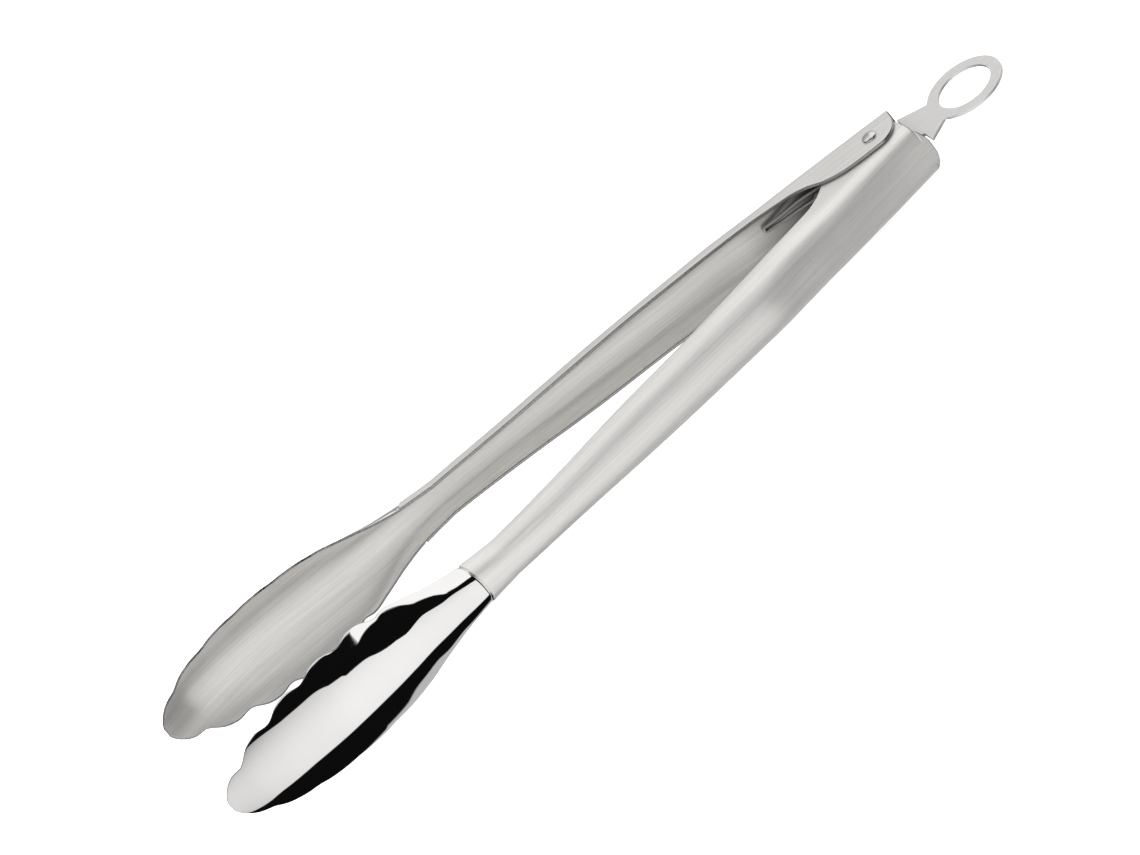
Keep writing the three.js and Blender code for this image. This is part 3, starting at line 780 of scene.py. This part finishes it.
def spring_half(side):
    """Centre line of one half of the spring: foot on the front arm, coil, leg and half of the closed loop."""
    loop_w = back_curve(LOOP_AT) - SHEET - WIRE_R - 0.2
    foot_w = back_curve(FOOT_AT) - SHEET - WIRE_R - 0.95
    place = lambda u, w, z, angle: turned(np.array([[-u, w, z]], float), angle)[0]
    foot = place(FOOT_AT, -foot_w, side * FOOT_HALF, OPEN_HALF_ANGLE)
    loop_start = place(LOOP_AT, loop_w, LOOP_LIFT + side * LOOP_HALF, -OPEN_HALF_ANGLE)
    loop_end = place(LOOP_AT + LOOP_HALF * 1.1, loop_w + 0.1, LOOP_LIFT, -OPEN_HALF_ANGLE)
    slope = math.asin((loop_w - COIL_R) / math.hypot(LOOP_AT, loop_w)) + OPEN_HALF_ANGLE
    foot_slope = math.asin((foot_w - COIL_R) / math.hypot(FOOT_AT, foot_w)) + OPEN_HALF_ANGLE
    start = -math.pi / 2 + foot_slope
    end = math.pi / 2 - slope + 2 * math.pi * math.floor(COIL_TURNS)
    t = np.linspace(0, 1, 140)
    angle = start + (end - start) * t
    lift = COIL_OUT + (COIL_IN - COIL_OUT) * smoothstep(t, -0.02, 1.02)
    coil = np.stack([COIL_R * np.cos(angle), COIL_R * np.sin(angle), PLATE_LIFT + side * lift], -1)
    foot_leg = foot + (coil[0] - foot) * np.linspace(0, 1, 24, endpoint=False)[:, None]
    t = np.linspace(0, 1, 61)[1:]
    leg = coil[-1] + (loop_start - coil[-1]) * t[:, None]
    leg[:, 2] = coil[-1][2] + (loop_start[2] - coil[-1][2]) * smoothstep(t, 0.62, 1)
    turn = np.linspace(0, math.pi / 2, 13)[1:]
    bend_over = loop_start + (loop_end - loop_start) * np.sin(turn)[:, None]
    bend_over[:, 2] = LOOP_LIFT + side * LOOP_HALF * np.cos(turn)
    return np.concatenate([foot_leg, coil, leg, bend_over])


def make_spring():
    path = np.concatenate([spring_half(1), spring_half(-1)[::-1][1:]])
    sides = 16
    points, rings, grain = [], [], []
    side = np.array([0.0, 1.0, 0.0])
    run = 0.0
    for i, point in enumerate(path):
        before, after = path[max(0, i - 1)], path[min(len(path) - 1, i + 1)]
        direction = (after - before) / np.linalg.norm(after - before)
        side = side - direction * side.dot(direction)
        side /= np.linalg.norm(side)
        top = np.cross(side, direction)
        run += np.linalg.norm(point - path[max(0, i - 1)])
        radius = WIRE_R * (0.8 if i in (0, len(path) - 1) else 1)
        rings.append(range(len(points), len(points) + sides))
        for k in range(sides):
            angle = 2 * math.pi * k / sides
            points.append(point + radius * (side * math.cos(angle) + top * math.sin(angle)))
            grain.append((run, radius * angle))
    faces = [tuple(rings[0]), tuple(reversed(rings[-1]))]
    for low, high in zip(rings, rings[1:]):
        faces += [(low[k], high[k], high[(k + 1) % sides], low[(k + 1) % sides]) for k in range(sides)]
    piece = build_mesh("torsion_spring_wire", np.array(points), faces, [wire_steel], grain=np.array(grain))
    face_outward(piece)
    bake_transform(piece)
    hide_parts("torsion_spring")


make_spring()


# ---- floor, light and camera ----
def make_floor():
    mesh = bpy.data.meshes.new("floor")
    reach, drop = 6.0, -0.0003
    corners = [(-reach, -reach, drop), (reach, -reach, drop), (reach, reach, drop), (-reach, reach, drop)]
    mesh.from_pydata(corners, [], [(0, 1, 2, 3)])
    material, _, _, shader = new_material("floor_paper")
    shader.inputs["Base Color"].default_value = (0.93, 0.93, 0.93, 1)
    shader.inputs["Roughness"].default_value = 0.9
    shader.inputs["Specular IOR Level"].default_value = 0.1
    shader.inputs["Emission Color"].default_value = (1, 1, 1, 1)
    shader.inputs["Emission Strength"].default_value = 0.55
    mesh.materials.append(material)
    floor = bpy.data.objects.new("floor", mesh)
    bpy.context.scene.collection.objects.link(floor)
    floor.visible_glossy = False


# Studio cards, in degrees round the tongs and as brightness. Their edges were read from a plot of the
# photograph's brightness by reflected direction, then adjusted until the polished front head showed the
# photograph's bright and dark bands; they aren't measured places of real cards.
FRONT_LOW = -50
FRONT_HIGH = 34
FRONT_BULGE = 140
FRONT_DROP = 500
FRONT_VALUE = 0.9
FRONT_FADE = -0.00007
FRONT_FADE_ALONG = 0.25
EDGE_SOFTNESS = 2.0
STRIP_SLOPE = 0.0033
STRIP_FROM = 0.4325
STRIP_TO = -84
STRIP_VALUE = 0.5
CARD_ALONG = 0.21
CARD_SLOPE = 150
CARD_FROM = 15
CARD_VALUE = 1.0
CARD_TO = 162
TOP_FROM = 85
TOP_VALUE = 0.86
TOP_FADE = 0.6
FLOOR_TO = -150
FLOOR_VALUE = 0.35
DARK_VALUE = 0.004


class Values:
    """Arithmetic on value sockets of one node tree."""

    def __init__(self, tree):
        self.nodes = tree.nodes
        self.links = tree.links

    def math(self, operation, *inputs):
        node = self.nodes.new("ShaderNodeMath")
        node.operation = operation
        for socket, value in zip(node.inputs, inputs):
            if isinstance(value, (int, float)):
                socket.default_value = value
            else:
                self.links.new(value, socket)
        return node.outputs[0]

    def above(self, value, edge, softness):
        """0 below the edge, 1 above it, with a soft change between."""
        return self.clamp(self.math("DIVIDE", self.math("SUBTRACT", value, edge), softness))

    def below(self, value, edge, softness):
        return self.clamp(self.math("DIVIDE", self.math("SUBTRACT", edge, value), softness))

    def clamp(self, value):
        node = self.nodes.new("ShaderNodeMapRange")
        node.interpolation_type = "SMOOTHSTEP"
        node.inputs["From Min"].default_value = -0.5
        node.inputs["From Max"].default_value = 0.5
        self.links.new(value, node.inputs["Value"])
        return node.outputs["Result"]


def make_studio():
    """White cards by direction: around is 0 degrees in front, 90 above and 180 behind the tongs."""
    world = bpy.data.worlds.new("studio")
    world.use_nodes = True
    bpy.context.scene.world = world
    nodes, links = world.node_tree.nodes, world.node_tree.links
    nodes.clear()
    values = Values(world.node_tree)
    place = nodes.new("ShaderNodeTexCoord")
    split = nodes.new("ShaderNodeSeparateXYZ")
    links.new(place.outputs["Generated"], split.inputs["Vector"])
    along = split.outputs["X"]
    front = values.math("MULTIPLY", split.outputs["Y"], -1)
    around = values.math("DEGREES", values.math("ARCTAN2", split.outputs["Z"], front))

    # The large front card: its edges bulge towards the tips and its top edge drops towards the eye.
    past = values.math("MINIMUM", along, 0)
    bulge = values.math("MULTIPLY", values.math("MULTIPLY", past, past), FRONT_BULGE)
    ahead = values.math("MAXIMUM", along, 0)
    drop = values.math("MULTIPLY", values.math("MULTIPLY", ahead, ahead), FRONT_DROP)
    low_edge = values.math("SUBTRACT", FRONT_LOW, bulge)
    high_edge = values.math("SUBTRACT", values.math("ADD", bulge, FRONT_HIGH), drop)
    above_low = values.above(around, low_edge, EDGE_SOFTNESS)
    front_card = values.math("MULTIPLY", above_low, values.below(around, high_edge, EDGE_SOFTNESS))
    off_middle = values.math("ADD", around, 25)
    fade = values.math("MULTIPLY_ADD", values.math("MULTIPLY", off_middle, off_middle), FRONT_FADE, FRONT_VALUE)
    total = values.math("MULTIPLY", front_card, values.math("MULTIPLY_ADD", along, FRONT_FADE_ALONG, fade))

    # A strip low behind, seen in the polished neck only.
    strip_edge = values.math("MULTIPLY_ADD", around, STRIP_SLOPE, STRIP_FROM)
    strip = values.math("MULTIPLY", values.above(along, strip_edge, 0.02), values.below(around, STRIP_TO, 5))
    total = values.math("MULTIPLY_ADD", strip, STRIP_VALUE, total)

    # A card high towards the eye, then the light from above and behind.
    card_edge = values.math("MULTIPLY_ADD", along, CARD_SLOPE, CARD_FROM)
    card = values.math("MULTIPLY", values.above(along, CARD_ALONG, 0.02), values.above(around, card_edge, 3))
    card = values.math("MULTIPLY", card, values.below(around, CARD_TO, 30))
    top = values.math("SUBTRACT", values.above(around, TOP_FROM, 16),
                      values.math("MULTIPLY", values.above(around, 132, 36), TOP_FADE))
    card = values.math("MULTIPLY", card, CARD_VALUE)
    bright = values.math("MAXIMUM", card, values.math("MULTIPLY", top, TOP_VALUE))
    total = values.math("ADD", total, bright)

    # Below and behind the tongs the room is grey.
    floor_back = values.below(around, FLOOR_TO, 12)
    total = values.math("MULTIPLY_ADD", floor_back, FLOOR_VALUE, total)
    total = values.math("ADD", total, DARK_VALUE)
    background = nodes.new("ShaderNodeBackground")
    background.inputs["Color"].default_value = (1, 1, 1, 1)
    links.new(total, background.inputs["Strength"])
    output = nodes.new("ShaderNodeOutputWorld")
    links.new(background.outputs["Background"], output.inputs["Surface"])


def soft_light(name, place, target, size, energy):
    """Large soft light that brightens the floor and the matt parts; polished steel doesn't mirror it."""
    data = bpy.data.lights.new(name, "AREA")
    data.shape = "DISK"
    data.size = size
    data.energy = energy
    light = bpy.data.objects.new(name, data)
    light.location = place
    light.rotation_mode = "QUATERNION"
    light.rotation_quaternion = (Vector(target) - Vector(place)).to_track_quat("-Z", "Y")
    light.visible_glossy = False
    bpy.context.scene.collection.objects.link(light)


# The camera is the rounded result of a least-squares fit to outline points read off the photograph.
CAMERA_AZIMUTH = math.radians(-4.96)
CAMERA_ELEVATION = math.radians(31.13)
CAMERA_ROLL = math.radians(-38.87)
CAMERA_LENS = 201.6
CAMERA_DISTANCE = 1.772
CAMERA_AIM = (-116.0, 0, 3.5)


def make_camera():
    data = bpy.data.cameras.new("camera")
    data.lens = CAMERA_LENS
    data.sensor_width = 36
    data.clip_start = 0.05
    data.clip_end = 50
    camera = bpy.data.objects.new("camera", data)
    a, e = CAMERA_AZIMUTH, CAMERA_ELEVATION
    back = Vector((math.sin(a) * math.cos(e), -math.cos(a) * math.cos(e), math.sin(e)))
    camera.location = Vector(PIVOT * MM) + Vector(CAMERA_AIM) * MM + back * CAMERA_DISTANCE
    level = (-back).to_track_quat("-Z", "Y").to_matrix()
    camera.rotation_mode = "QUATERNION"
    camera.rotation_quaternion = (level @ Matrix.Rotation(CAMERA_ROLL, 3, "Z")).to_quaternion()
    bpy.context.scene.collection.objects.link(camera)
    bpy.context.scene.camera = camera


make_floor()
make_studio()
soft_light("overhead_soft", (0, -0.3, 2.0), (0, 0, 0), 3.0, 38)
soft_light("front_soft", (-0.15, -1.25, 1.25), (0, 0, 0), 1.2, 24)
make_camera()
bpy.context.scene.view_settings.view_transform = "Standard"
